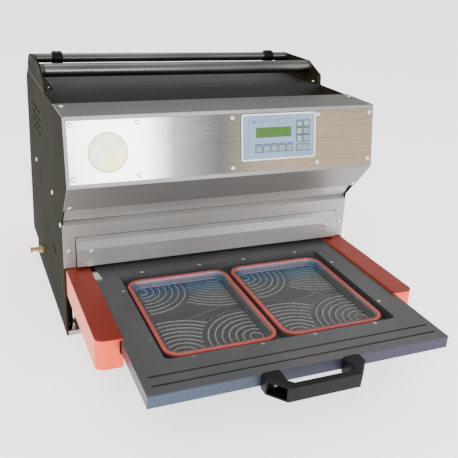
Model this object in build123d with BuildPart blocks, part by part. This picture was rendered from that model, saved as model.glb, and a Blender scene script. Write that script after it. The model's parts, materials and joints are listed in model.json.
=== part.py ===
"""Table-top tray sealing machine: a cabinet with a sealing head and a two-pocket drawer.

Units are millimetres. +X is the operator's right, -Y the operator's side, +Z up.
The origin is the centre of the base plate's underside. The drawer is drawn out.
"""

import math
import os

from build123d import *

os.makedirs("parts", exist_ok=True)

# ---------------------------------------------------------------- driving dimensions
# Cabinet
machine_width = 560.0
base_depth = 375.0
head_top = 417.5
side_thickness = 2.5
cover_thickness = 1.5
base_thickness = 3.0
base_lip_height = 9.0

# Cabinet outline, measured from the front edge of the side plates or from the base
panel_top_overhang = 50.5
panel_bottom_overhang = 68.8
panel_bottom = 306.0
slant_end = 225.0
slant_cover_end = 253.2
fascia_top = 217.0
rear_overhang_top = 23.0
rear_overhang_bottom = 71.0
rear_chamfer_depth = 26.0
rear_chamfer_height = 19.0
rear_notch_height = 36.0
top_strip_depth = 90.5
trough_depth_back = 102.0
trough_height = 30.0
recess_depth = 9.0
corner_gap = 1.2

# Front plate and keypad
plate_side_margin = 5.0
plate_end_margin = 7.0
plate_thickness = 1.5
plate_corner_radius = 2.0
plate_screw_inset = 5.0
plate_screw_rise = 8.1
plate_screw_drop = 6.1
plate_screw_pitch = 106.65
keypad_screw_gap_left = 15.4
keypad_screw_gap_right = 4.55
keypad_width = 143.4
keypad_height = 80.0
keypad_x = 87.1
keypad_rise = 65.1
keypad_flange = 2.0
keypad_depth = 6.0
keypad_flange_margin = 4.0
keypad_corner_radius = 5.0
keypad_floor = 1.5
window_width = 65.3
window_height = 15.2
window_offset_x = -10.9
window_offset_y = 7.7
display_recess = 0.8
key_gap = 0.4
key_stand = 0.8
key_height = 12.0
key_thickness = 3.0
key_corner_radius = 1.5
key_chamfer = 0.4
function_key_width = 13.2
function_key_pitch = 14.7
function_key_count = 5
function_key_x = -9.6
function_key_y = -20.3
number_key_width = 12.2
number_key_pitch_x = 13.7
number_key_pitch_y = 12.9
number_key_x = 45.9
number_key_y = 7.5
enter_key_width = 25.9
enter_key_y = -21.0

# Lower front
fascia_gap = 1.0
fascia_flange_run = 11.0
fascia_flange_rise = 9.0
fascia_flange_clear = 16.0
hood_half_margin = 21.0
hood_opening_height = 56.5
hood_gap = 1.2
hood_projection = 9.0
hood_bevel_top = 9.0
hood_bevel_height = 12.0
hood_lip_gap = 3.5
hood_lug_rise = 9.0
hood_lug_gap = 0.4
hood_lug_half = 12.0
underhead_end_gap = 1.5
underhead_overlap = 18.4

# Rails
rail_width = 41.0
rail_height = 50.0
rail_top = 136.0
rail_reach = 247.3
rail_rear_gap = 10.0
rail_corner_radius = 14.0
rail_lip = 3.6
rail_groove_depth = 6.0
rail_side_gap = 0.2
rail_chamfer = 0.8
strip_height = 3.0
strip_end_gap = 2.0
post_diameter = 12.0
post_flange_diameter = 22.0
post_flange_height = 4.0
post_inset = 30.0
post_offset = 6.0

# Drawer
drawer_travel = 335.0
plate_reach = 386.5
plate_rear_reach = 10.0
drawer_plate_thickness = 20.0
drawer_side_gap = 2.0
drawer_lip_gap = 0.4
drawer_strip_gap = 0.2
groove_width = 3.5
groove_depth = 12.0
groove_length = 457.0
first_groove_reach = 346.3
groove_pitch = 20.7
drawer_chamfer = 1.0
drawer_screw_outer_x = 152.0
drawer_screw_inner_x = 44.0
drawer_screw_side_y = 78.0
drawer_screw_end_gap = 3.5
drawer_screw_side_gap = 6.5

# Tray pockets
pocket_width = 183.0
pocket_length = 244.5
pocket_pitch = 191.0
pocket_reach = 178.5
pocket_corner_radius = 26.0
pocket_drop = 6.0
knife_gap_side = 6.5
knife_gap_end = 12.0
opening_corner_radius = 8.0
nest_depth = 24.0
nest_wall = 4.0
nest_flange_margin = 22.0
nest_flange_thickness = 4.0
gasket_width = 6.5
gasket_height = 3.0
gasket_round = 0.8
gasket_fit_gap = 0.1
tray_wall = 0.8
tray_depth = 13.0
tray_inner_gap = 2.0
tray_edge_gap = 0.5
tray_draft = 3.0

# Handle
handle_width = 158.0
handle_bar_width = 114.0
handle_projection = 41.5
handle_shoulder = 15.0
handle_height = 25.0
handle_drop = 2.0
handle_leg_width = 29.0
handle_bar_depth = 11.0
handle_wall = 2.5
handle_top_wall = 3.5
handle_corner = 6.0
handle_edge_chamfer = 3.0
handle_screw_size = 10.0
handle_screw_head = 5.0
handle_screw_inset = 15.7
handle_socket_size = 6.0
handle_screw_reach = 10.0
handle_back_wall = 11.0
handle_inner_wall = 3.0
handle_screw_drop = 0.25

# Sealing head
seal_clearance = 0.3
head_lift = 34.0
knife_thickness = 1.2
knife_gap = 1.3
knife_drop = 7.0
heater_thickness = 18.0
heater_margin = 0.5
board_thickness = 10.0
crosshead_thickness = 14.0
crosshead_margin = 10.0
crosshead_corner_radius = 10.0
crosshead_chamfer = 1.0
press_plate_bottom = 272.0
press_plate_thickness = 15.0
press_plate_margin = 25.0
press_plate_rod_gap = 3.0
guide_rod_diameter = 20.0
guide_rod_spacing_x = 330.0
guide_rod_spacing_y = 180.0
guide_rod_stand = 42.0
running_gap = 0.05
bush_wall = 5.0
bush_length = 28.0
bush_flange = 4.0
bush_flange_width = 4.0
cylinder_size = 76.0
cylinder_end_gap = 4.0
cylinder_wall = 7.0
cylinder_corner_radius = 12.0
piston_gap = 0.3
piston_end_gap = 1.0
piston_thickness = 12.0
piston_rod_diameter = 20.0

# Film rollers
bracket_thickness = 3.0
bracket_front = 143.0
bracket_shoulder = 199.0
bracket_rear_crest = 312.0
bracket_rear = 365.0
bracket_height = 39.0
bracket_front_height = 18.0
bracket_front_lean = 3.0
bracket_front_flange = 9.0
bracket_foot = 18.0
bracket_foot_inset = 6.0
front_roller_diameter = 25.0
front_roller_back = 195.0
front_roller_rise = 27.0
rear_roller_diameter = 18.0
rear_roller_back = 302.0
rear_roller_rise = 32.0
journal_diameter = 8.0
roller_bush_thickness = 6.0
roller_bush_spigot = 10.5
roller_bush_step = 0.5
roller_end_gap = 0.5
roller_chamfer = 0.8
journal_end_gap = 1.0
collar_diameter = 27.0
collar_length = 20.0
collar_x = 230.0
collar_groove = 2.0
collar_chamfer = 2.0

# Fasteners and fittings
screw_head_diameter = 8.4
screw_head_height = 2.4
screw_shank_diameter = 4.0
screw_shank_length = 7.0
screw_hole_gap = 0.1
screw_hole_depth = 12.0
screw_dome_share = 0.9
screw_socket_size = 2.5
socket_depth_share = 0.7
plate_screw_diameter = 6.0
plate_screw_shank = 3.0
plate_screw_sink = 3.0
plate_screw_recess = 0.3
plate_screw_reach = 2.0
edge_screw_inset = 10.0
slant_screw_reach = 61.0
fascia_screw_rise = 32.0
hood_screw_rise = 31.0
hood_screw_inset = 26.0
strip_screw_inset = 22.0
foot_screw_front_inset = 16.0
foot_screw_rear_inset = 30.0
side_screw_middle_back = 93.0
side_screw_front_back = 15.0
side_screw_rear_back = 300.0
side_screw_height = 246.0
side_screw_low_height = 213.5
rear_screw_inset = 20.0
fitting_back = 280.0
fitting_height = 52.0
fitting_bore_diameter = 6.1
fitting_body_diameter = 10.0
fitting_hex_size = 16.0
fitting_hex_length = 7.0
fitting_length = 27.0
fitting_thread_length = 14.0
fitting_ring_length = 3.0
fitting_ring_lip = 0.8

# ---------------------------------------------------------------- derived places
half_width = machine_width / 2
inner_half = half_width - side_thickness
front = -base_depth / 2
rear = base_depth / 2

panel_top_y = front - panel_top_overhang
panel_bottom_y = front - panel_bottom_overhang
slant_share = (panel_bottom - slant_cover_end) / (panel_bottom - slant_end)
slant_cover_y = panel_bottom_y + panel_bottom_overhang * slant_share
strip_end_y = panel_top_y + top_strip_depth
deck_front_y = strip_end_y + trough_depth_back
deck_end_y = rear + rear_overhang_top - rear_chamfer_depth
rear_top_y = rear + rear_overhang_top
rear_top_z = head_top - rear_chamfer_height
rear_bottom_y = rear + rear_overhang_bottom
trough_floor = head_top - trough_height
rear_chamfer_slope = math.hypot(rear_chamfer_depth, rear_chamfer_height)

rail_outer = inner_half - rail_side_gap
rail_inner = rail_outer - rail_width
rail_bottom = rail_top - rail_height
rail_front_y = front - rail_reach
rail_rear_y = rear - rail_rear_gap
groove_top = rail_top - rail_lip
plate_top = groove_top - drawer_lip_gap
plate_bottom = plate_top - drawer_plate_thickness
strip_top = plate_bottom - drawer_strip_gap
groove_bottom = strip_top - strip_height
plate_half = rail_inner + rail_groove_depth - drawer_side_gap
plate_front_y = front - plate_reach
plate_rear_y = front + plate_rear_reach

pocket_y = front - pocket_reach
pocket_xs = (-pocket_pitch / 2, pocket_pitch / 2)
opening_width = pocket_pitch + pocket_width + 2 * knife_gap_side
opening_length = pocket_length + 2 * knife_gap_end
nest_top = plate_top - pocket_drop
head_y = pocket_y + drawer_travel

knife_tip = plate_top + head_lift
heater_bottom = knife_tip + knife_drop
board_bottom = heater_bottom + heater_thickness
crosshead_bottom = board_bottom + board_thickness
crosshead_top = crosshead_bottom + crosshead_thickness
tray_top = nest_top + tray_wall
head_travel = heater_bottom - tray_top - seal_clearance
cylinder_height = 2 * cylinder_wall + piston_thickness + head_travel + cylinder_end_gap
press_plate_top = press_plate_bottom + press_plate_thickness
crosshead_width = pocket_pitch + pocket_width + 2 * crosshead_margin
crosshead_length = pocket_length + 2 * crosshead_margin
plate_screw_radius = plate_screw_shank / 2
gasket_inner_width = pocket_width - 2 * gasket_width
gasket_inner_length = pocket_length - 2 * gasket_width
gasket_inner_radius = pocket_corner_radius - gasket_width

fascia_bottom = rail_top + fascia_gap
hood_half = half_width - hood_half_margin
hood_opening_top = fascia_bottom + hood_opening_height
roller_half = half_width - bracket_thickness - roller_bush_thickness

panel_lean = math.atan2(panel_bottom_overhang - panel_top_overhang, head_top - panel_bottom)
panel_length = math.hypot(panel_bottom_overhang - panel_top_overhang, head_top - panel_bottom)
panel_plane = Plane(
    origin=(0, panel_bottom_y, panel_bottom),
    x_dir=(1, 0, 0),
    z_dir=(0, -math.cos(panel_lean), math.sin(panel_lean)),
)
slant_angle = math.atan2(panel_bottom - slant_end, panel_bottom_overhang)
slant_plane = Plane(
    origin=(0, panel_bottom_y, panel_bottom),
    x_dir=(1, 0, 0),
    z_dir=(0, -math.sin(slant_angle), -math.cos(slant_angle)),
)
rear_run = rear_overhang_bottom - rear_overhang_top
rear_rise = rear_top_z - rear_notch_height
rear_lean = math.atan2(rear_run, rear_rise)
rear_length = math.hypot(rear_run, rear_rise)
rear_plane = Plane(
    origin=(0, rear_bottom_y, rear_notch_height),
    x_dir=(-1, 0, 0),
    z_dir=(0, math.cos(rear_lean), math.sin(rear_lean)),
)
front_plane = Plane(origin=(0, front, 0), x_dir=(1, 0, 0), z_dir=(0, -1, 0))
deck_plane = Plane.XY.offset(head_top)


def save(piece, label):
    """Labels a finished piece and writes it to its own STEP file."""
    piece.part.label = label
    export_step(piece.part, f"parts/{label}.step")


def on_plane(plane, x, y, height=0.0):
    """A plane parallel to the given one, with its origin at a local point."""
    return Plane(
        origin=plane.from_local_coords((x, y, height)),
        x_dir=plane.x_dir,
        z_dir=plane.z_dir,
    )


# ---------------------------------------------------------------- screw places
plate_screw_half = half_width - plate_side_margin - plate_screw_inset
plate_screw_xs = (
    -plate_screw_half,
    -plate_screw_half + plate_screw_pitch,
    keypad_x - keypad_width / 2 - keypad_screw_gap_left,
    keypad_x + keypad_width / 2 + keypad_screw_gap_right,
    plate_screw_half,
)
plate_screw_rows = (
    plate_end_margin + plate_screw_rise,
    panel_length - plate_end_margin - plate_screw_drop,
)
panel_screws = [
    on_plane(panel_plane, x, y, plate_thickness)
    for x in plate_screw_xs
    for y in plate_screw_rows
]
edge_screw_x = half_width - edge_screw_inset
slant_screws = [on_plane(slant_plane, x, -slant_screw_reach) for x in (-edge_screw_x, edge_screw_x)]
fascia_screws = [
    on_plane(front_plane, x, fascia_bottom + fascia_screw_rise) for x in (-edge_screw_x, edge_screw_x)
]
hood_screws = [
    on_plane(front_plane, x, fascia_bottom + hood_screw_rise, hood_projection)
    for x in (hood_screw_inset - hood_half, hood_half - hood_screw_inset)
]
strip_screws = [
    on_plane(deck_plane, x, strip_end_y - strip_screw_inset) for x in (-edge_screw_x, edge_screw_x)
]
foot_x = half_width - bracket_foot / 2
foot_screws = [
    on_plane(deck_plane, x, front + back, side_thickness)
    for x in (-foot_x, foot_x)
    for back in (bracket_front + foot_screw_front_inset, bracket_rear - foot_screw_rear_inset)
]
side_planes = (
    Plane(origin=(-half_width, 0, 0), x_dir=(0, -1, 0), z_dir=(-1, 0, 0)),
    Plane(origin=(half_width, 0, 0), x_dir=(0, 1, 0), z_dir=(1, 0, 0)),
)
side_screw_places = (
    (front + side_screw_middle_back, side_screw_height),
    (front + side_screw_front_back, side_screw_low_height),
    (front + side_screw_rear_back, side_screw_height),
)
side_screws = [
    on_plane(plane, y * plane.x_dir.Y, z) for plane in side_planes for y, z in side_screw_places
]
rear_screws = [
    on_plane(rear_plane, x, y)
    for x in (-edge_screw_x, edge_screw_x)
    for y in (rear_screw_inset, rear_length - rear_screw_inset)
]


def drill(planes):
    """Cuts the clearance holes of a group of screws in the part being built."""
    for plane in planes:
        with BuildSketch(plane.offset(screw_hole_depth / 2)) as hole:
            Circle(screw_shank_diameter / 2 + screw_hole_gap)
        extrude(hole.sketch, amount=-screw_hole_depth, mode=Mode.SUBTRACT)


def sheet(points, thickness, side, half, middle=0.0):
    """Bends a sheet of the given thickness along a side outline, across the cabinet."""
    with BuildSketch(Plane.YZ.offset(middle - half)) as outline:
        with BuildLine():
            Polyline(*points)
            offset(amount=thickness, side=side)
        make_face()
    extrude(outline.sketch, amount=2 * half)


# ---------------------------------------------------------------- cabinet
with BuildPart() as base_plate:
    sheet(
        [
            (front + cover_thickness, base_lip_height),
            (front + cover_thickness, 0),
            (rear - cover_thickness, 0),
            (rear - cover_thickness, base_lip_height),
        ],
        base_thickness,
        Side.LEFT,
        inner_half,
    )
save(base_plate, "base_plate")

vent_rows = 4
vent_columns = 3
vent_length = 26.0
vent_height = 4.0
vent_pitch_y = 34.0
vent_pitch_z = 14.5
vent_back = 262.0
vent_middle = 340.0
side_slot_length = 47.0
side_slot_height = 5.0
side_slot_back = 107.0
side_slot_z = 127.5
lifting_hole_diameter = 8.0
lifting_hole_z = 240.0
lifting_hole_inset = 16.0
lifting_hole_y = rear_top_y + (rear_top_z - lifting_hole_z) * math.tan(rear_lean) - lifting_hole_inset

for side_plane, name in zip(side_planes, ("left", "right")):
    with BuildPart() as side_plate:
        with BuildSketch(Plane.YZ.offset(side_plane.origin.X)):
            with BuildLine():
                Polyline(
                    (panel_top_y, head_top),
                    (panel_bottom_y, panel_bottom),
                    (front, slant_end),
                    (front, -cover_thickness),
                    (rear, -cover_thickness),
                    (rear, rear_notch_height),
                    (rear_bottom_y, rear_notch_height),
                    (rear_top_y, rear_top_z),
                    (deck_end_y, head_top),
                    close=True,
                )
            make_face()
            offset(amount=-cover_thickness, kind=Kind.INTERSECTION)
            with Locations((front, 0)):
                Rectangle(2 * cover_thickness, fascia_bottom, align=Align.MIN)
            with Locations((front + vent_back, vent_middle)):
                with GridLocations(vent_pitch_y, vent_pitch_z, vent_columns, vent_rows):
                    SlotOverall(vent_length, vent_height, mode=Mode.SUBTRACT)
            with Locations((front + side_slot_back, side_slot_z)):
                SlotOverall(side_slot_length, side_slot_height, mode=Mode.SUBTRACT)
            with Locations((lifting_hole_y, lifting_hole_z)):
                Circle(lifting_hole_diameter / 2, mode=Mode.SUBTRACT)
            if name == "left":
                with Locations((front + fitting_back, fitting_height)):
                    Circle(fitting_body_diameter / 2, mode=Mode.SUBTRACT)
        extrude(amount=-side_thickness * side_plane.z_dir.X)
        drill(side_screws)
    save(side_plate, f"side_plate_{name}")

with BuildPart() as head_cover:
    sheet(
        [
            (strip_end_y, head_top),
            (panel_top_y, head_top),
            (panel_bottom_y, panel_bottom),
            (slant_cover_y, slant_cover_end),
        ],
        cover_thickness,
        Side.LEFT,
        half_width,
    )
    with BuildSketch(on_plane(panel_plane, keypad_x, keypad_rise)):
        Rectangle(
            keypad_width - 2 * keypad_flange_margin,
            keypad_height - 2 * keypad_flange_margin,
        )
    extrude(amount=-2 * keypad_depth, mode=Mode.SUBTRACT)
    drill(panel_screws)
    drill(slant_screws)
    drill(strip_screws)
save(head_cover, "head_cover")

with BuildPart() as film_trough:
    sheet(
        [
            (strip_end_y, head_top - cover_thickness),
            (strip_end_y, trough_floor),
            (deck_front_y, trough_floor),
        ],
        cover_thickness,
        Side.RIGHT,
        inner_half,
    )
save(film_trough, "film_trough")

with BuildPart() as rear_top_cover:
    sheet(
        [
            (deck_front_y, trough_floor),
            (deck_front_y, head_top),
            (deck_end_y, head_top),
            (
                rear_top_y - corner_gap * rear_chamfer_depth / rear_chamfer_slope,
                rear_top_z + corner_gap * rear_chamfer_height / rear_chamfer_slope,
            ),
        ],
        cover_thickness,
        Side.RIGHT,
        half_width,
    )
    # The front wall drops between the side plates.
    for x in (-half_width, inner_half):
        with BuildSketch(Plane.YZ.offset(x)):
            with Locations((deck_front_y, head_top - cover_thickness)):
                Rectangle(2 * cover_thickness, trough_height, align=(Align.CENTER, Align.MAX))
        extrude(amount=side_thickness, mode=Mode.SUBTRACT)
    drill(foot_screws)
save(rear_top_cover, "rear_top_cover")

inlet_x = -200.0
inlet_rise = 60.0
inlet_width = 28.0
inlet_height = 48.0
inlet_depth = 30.0
inlet_flange = 3.0
inlet_flange_margin = 4.0
inlet_corner_radius = 3.0
inlet_fit_gap = 0.2
socket_width = 24.5
socket_height = 16.5
socket_drop = 11.0
socket_depth = 18.0
pin_width = 2.0
pin_height = 4.0
pin_length = 14.0
pin_spread = 7.0
pin_step = 2.5
rocker_rise = 13.5
rocker_hole_width = 21.0
rocker_hole_height = 15.0
rocker_half_width = 9.5

with BuildPart() as rear_cover:
    sheet(
        [
            (rear_top_y, rear_top_z),
            (rear_bottom_y, rear_notch_height),
            (rear, rear_notch_height),
            (rear, 0),
        ],
        cover_thickness,
        Side.RIGHT,
        half_width,
    )
    with BuildSketch(on_plane(rear_plane, inlet_x, inlet_rise)):
        Rectangle(inlet_width, inlet_height)
    extrude(amount=-inlet_depth, mode=Mode.SUBTRACT)
    drill(rear_screws)
save(rear_cover, "rear_cover")

with BuildPart() as underhead_panel:
    slant_run = Vector(0, math.cos(slant_angle), -math.sin(slant_angle))
    recess = Vector(0, math.sin(slant_angle), math.cos(slant_angle)) * recess_depth
    underhead_top = recess - slant_run * underhead_overlap
    underhead_end = recess - slant_run * underhead_end_gap
    sheet(
        [
            (slant_cover_y + underhead_top.Y, slant_cover_end + underhead_top.Z),
            (front + underhead_end.Y, fascia_top + underhead_end.Z),
        ],
        cover_thickness,
        Side.LEFT,
        inner_half,
    )
save(underhead_panel, "underhead_panel")

with BuildPart() as fascia:
    sheet(
        [
            (front + fascia_flange_run, fascia_top + fascia_flange_rise),
            (front, fascia_top),
            (front, fascia_bottom),
        ],
        cover_thickness,
        Side.LEFT,
        half_width,
    )
    with BuildSketch(front_plane):
        with Locations((0, fascia_bottom)):
            Rectangle(2 * hood_half, 2 * hood_opening_height)
    extrude(amount=-2 * cover_thickness, mode=Mode.SUBTRACT)
    # The bent top flange is tucked between the side plates.
    for x in (-half_width, inner_half):
        with BuildSketch(Plane.YZ.offset(x)):
            with Locations((front + cover_thickness, fascia_top - cover_thickness)):
                Rectangle(fascia_flange_clear, fascia_flange_clear, align=(Align.MIN, Align.MIN))
        extrude(amount=side_thickness, mode=Mode.SUBTRACT)
    drill(fascia_screws)
save(fascia, "fascia")

hood_top = hood_opening_top - hood_gap
hood_bevel_end = hood_top - hood_bevel_top + hood_gap - hood_bevel_height
hood_bottom = fascia_bottom + hood_lip_gap
with BuildPart() as guard_hood:
    hood_width_half = hood_half - hood_gap
    hood_outline = [
        (front, hood_top),
        (front, hood_top - hood_bevel_top + hood_gap),
        (front - hood_projection, hood_bevel_end),
        (front - hood_projection, hood_bottom),
    ]
    sheet(hood_outline, cover_thickness, Side.LEFT, hood_width_half)
    for x in (-hood_width_half, hood_width_half - cover_thickness):
        with BuildSketch(Plane.YZ.offset(x)):
            with BuildLine():
                Polyline(*hood_outline, (front + cover_thickness, hood_bottom), close=True)
            make_face()
        extrude(amount=cover_thickness)
    for screw in hood_screws:
        # A bent lug carries the hood on the back of the fascia.
        sheet(
            [
                (front + cover_thickness, hood_opening_top + hood_lug_rise),
                (front + cover_thickness, hood_bevel_end - hood_lug_gap),
                (front - hood_projection + cover_thickness, hood_bevel_end - hood_lug_gap),
            ],
            cover_thickness,
            Side.LEFT,
            hood_lug_half,
            screw.origin.X,
        )
    drill(hood_screws)
save(guard_hood, "guard_hood")

plate_half_width = half_width - plate_side_margin
with BuildPart() as front_plate:
    with BuildSketch(panel_plane):
        with Locations((0, panel_length / 2)):
            RectangleRounded(
                2 * plate_half_width, panel_length - 2 * plate_end_margin, plate_corner_radius
            )
        with Locations((keypad_x, keypad_rise)):
            Rectangle(
                keypad_width - 2 * keypad_flange_margin,
                keypad_height - 2 * keypad_flange_margin,
                mode=Mode.SUBTRACT,
            )
    extrude(amount=plate_thickness)
    drill(panel_screws)
save(front_plate, "front_plate")

# ---------------------------------------------------------------- screws
with BuildPart() as dome_screw:
    with BuildSketch(Plane.XY):
        Circle(screw_head_diameter / 2)
    extrude(amount=screw_head_height)
    fillet(dome_screw.faces().sort_by(Axis.Z)[-1].edges(), screw_dome_share * screw_head_height)
    with BuildSketch(Plane.XY):
        Circle(screw_shank_diameter / 2)
    extrude(amount=-screw_shank_length)
    with BuildSketch(Plane.XY.offset(screw_head_height)):
        RegularPolygon(screw_socket_size / 2, 6)
    extrude(amount=-socket_depth_share * screw_head_height, mode=Mode.SUBTRACT)

with BuildPart() as cover_screws:
    screw_planes = (
        panel_screws
        + slant_screws
        + fascia_screws
        + hood_screws
        + strip_screws
        + foot_screws
        + side_screws
        + rear_screws
    )
    with Locations(*[plane.location for plane in screw_planes]):
        add(dome_screw.part)
save(cover_screws, "cover_screws")

# ---------------------------------------------------------------- keypad
keypad_plane = on_plane(panel_plane, keypad_x, keypad_rise, plate_thickness)
function_keys = [
    (function_key_x + function_key_pitch * (i - (function_key_count - 1) / 2), function_key_y)
    for i in range(function_key_count)
]
number_keys = [
    (number_key_x + number_key_pitch_x * (column - 0.5), number_key_y + number_key_pitch_y * row)
    for row in (1, 0, -1)
    for column in (0, 1)
]
keys = {f"key_f{i + 1}": (*place, function_key_width) for i, place in enumerate(function_keys)}
keys.update({f"key_{i + 1}": (*place, number_key_width) for i, place in enumerate(number_keys)})
keys["key_enter"] = (number_key_x, enter_key_y, enter_key_width)

with BuildPart() as keypad_housing:
    with BuildSketch(keypad_plane):
        RectangleRounded(keypad_width, keypad_height, keypad_corner_radius)
    extrude(amount=keypad_flange)
    with BuildSketch(keypad_plane):
        Rectangle(
            keypad_width - 2 * keypad_flange_margin,
            keypad_height - 2 * keypad_flange_margin,
        )
    extrude(amount=keypad_flange - keypad_depth)
    with BuildSketch(keypad_plane.offset(keypad_flange)):
        for x, y, width in keys.values():
            with Locations((x, y)):
                Rectangle(width + 2 * key_gap, key_height + 2 * key_gap)
    extrude(amount=-keypad_depth + keypad_floor, mode=Mode.SUBTRACT)
    with BuildSketch(keypad_plane.offset(keypad_flange)):
        with Locations((window_offset_x, window_offset_y)):
            Rectangle(window_width, window_height)
    extrude(amount=-keypad_depth + keypad_floor, mode=Mode.SUBTRACT)
save(keypad_housing, "keypad_housing")

with BuildPart() as display:
    with BuildSketch(keypad_plane.offset(keypad_flange - display_recess)):
        with Locations((window_offset_x, window_offset_y)):
            Rectangle(window_width, window_height)
    extrude(amount=-keypad_depth + keypad_floor + display_recess)
save(display, "display")

for name, (x, y, width) in keys.items():
    with BuildPart() as key:
        with BuildSketch(on_plane(keypad_plane, x, y, keypad_flange + key_stand)):
            RectangleRounded(width, key_height, key_corner_radius)
        extrude(amount=-key_thickness)
        cap = key.faces().sort_by(Axis(keypad_plane.origin, keypad_plane.z_dir))[-1]
        chamfer(cap.edges(), key_chamfer)
    save(key, name)

# ---------------------------------------------------------------- rails
for side, name in ((-1, "left"), (1, "right")):
    with BuildPart() as rail:
        with BuildSketch(Plane.XY.offset(rail_bottom)):
            with Locations((side * (rail_inner + rail_outer) / 2, (rail_front_y + rail_rear_y) / 2)):
                Rectangle(rail_width, rail_rear_y - rail_front_y)
        extrude(amount=rail_height)
        with BuildSketch(Plane.XZ.offset(-rail_front_y)):
            with Locations((side * rail_inner, (groove_top + groove_bottom) / 2)):
                Rectangle(2 * rail_groove_depth, groove_top - groove_bottom)
        extrude(amount=rail_front_y - rail_rear_y, mode=Mode.SUBTRACT)
        front_edges = rail.edges().filter_by(Axis.Z).group_by(Axis.Y)[0]
        fillet(front_edges.sort_by(Axis.X)[0 if side < 0 else -1], rail_corner_radius)
        chamfer(rail.faces().sort_by(Axis.Z)[-1].edges(), rail_chamfer)
    save(rail, f"rail_{name}")

with BuildPart() as rail_strips:
    for side in (-1, 1):
        with BuildSketch(Plane.XY.offset(groove_bottom)):
            with Locations(
                (side * (rail_inner + rail_groove_depth / 2), (rail_front_y + rail_rear_y) / 2)
            ):
                Rectangle(rail_groove_depth, rail_rear_y - rail_front_y - 2 * strip_end_gap)
        extrude(amount=strip_height)
save(rail_strips, "rail_slide_strips")

post_x = (rail_inner + rail_outer) / 2 + post_offset
with BuildPart() as rail_posts:
    with Locations((0, (front + rail_rear_y) / 2, 0)):
        with GridLocations(2 * post_x, rail_rear_y - front - 2 * post_inset, 2, 2):
            with Locations((0, 0, base_thickness)):
                Cylinder(
                    post_diameter / 2,
                    rail_bottom - base_thickness,
                    align=(Align.CENTER, Align.CENTER, Align.MIN),
                )
                Cylinder(
                    post_flange_diameter / 2,
                    post_flange_height,
                    align=(Align.CENTER, Align.CENTER, Align.MIN),
                )
save(rail_posts, "rail_posts")

# ---------------------------------------------------------------- drawer
handle_top = plate_top + handle_drop
shoulder_run = (handle_width - handle_bar_width) / 2
shoulder_rise = handle_projection - handle_shoulder
mouth_back = 0.06
mouth_front = 0.92
mouth_overrun = 5.0
mouth_lead = 4.0
pocket_shoulder_share = 0.65
handle_pocket = (
    (mouth_back * shoulder_run, handle_back_wall),
    (mouth_back * shoulder_run, handle_shoulder + mouth_back * shoulder_rise),
    (
        mouth_back * shoulder_run - mouth_overrun,
        handle_shoulder + mouth_back * shoulder_rise + mouth_lead,
    ),
    (
        mouth_front * shoulder_run - mouth_overrun,
        handle_shoulder + mouth_front * shoulder_rise + mouth_lead,
    ),
    (mouth_front * shoulder_run, handle_shoulder + mouth_front * shoulder_rise),
    (handle_leg_width - handle_inner_wall, handle_shoulder + pocket_shoulder_share * shoulder_rise),
    (handle_leg_width - handle_inner_wall, handle_back_wall),
)
handle_screw_planes = [
    Plane(
        origin=(
            side * (handle_width / 2 - handle_screw_inset),
            plate_front_y - handle_back_wall,
            handle_top - handle_height / 2 - handle_screw_drop,
        ),
        x_dir=(1, 0, 0),
        z_dir=(0, -1, 0),
    )
    for side in (-1, 1)
]

with BuildPart() as drawer_plate:
    plate_middle_y = (plate_front_y + plate_rear_y) / 2
    with BuildSketch(Plane.XY.offset(plate_bottom)):
        with Locations((0, plate_middle_y)):
            Rectangle(2 * plate_half, plate_rear_y - plate_front_y)
        with Locations((0, pocket_y)):
            RectangleRounded(
                opening_width, opening_length, opening_corner_radius, mode=Mode.SUBTRACT
            )
    extrude(amount=drawer_plate_thickness)
    with BuildSketch(Plane.XY.offset(plate_top)):
        for reach in (first_groove_reach, first_groove_reach + groove_pitch):
            with Locations((0, front - reach)):
                Rectangle(groove_length, groove_width)
    extrude(amount=-groove_depth, mode=Mode.SUBTRACT)
    end_screw_y = opening_length / 2 + drawer_screw_end_gap
    side_screw_x = opening_width / 2 + drawer_screw_side_gap
    drawer_screws = [
        (side * x, pocket_y + end * end_screw_y)
        for x in (drawer_screw_inner_x, drawer_screw_outer_x)
        for side in (-1, 1)
        for end in (-1, 1)
    ]
    drawer_screws += [
        (side * side_screw_x, pocket_y + end * drawer_screw_side_y)
        for side in (-1, 1)
        for end in (-1, 1)
    ]
    with Locations(*[(x, y, plate_top) for x, y in drawer_screws]):
        CounterBoreHole(
            plate_screw_radius + screw_hole_gap,
            plate_screw_diameter / 2 + screw_hole_gap,
            plate_screw_sink,
        )
    chamfer(drawer_plate.faces().sort_by(Axis.Y)[0].edges(), drawer_chamfer)
    for plane in handle_screw_planes:
        with BuildSketch(plane.offset(-handle_back_wall)):
            Circle(screw_shank_diameter / 2)
        extrude(amount=-handle_screw_reach, mode=Mode.SUBTRACT)
save(drawer_plate, "drawer_plate")

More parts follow.
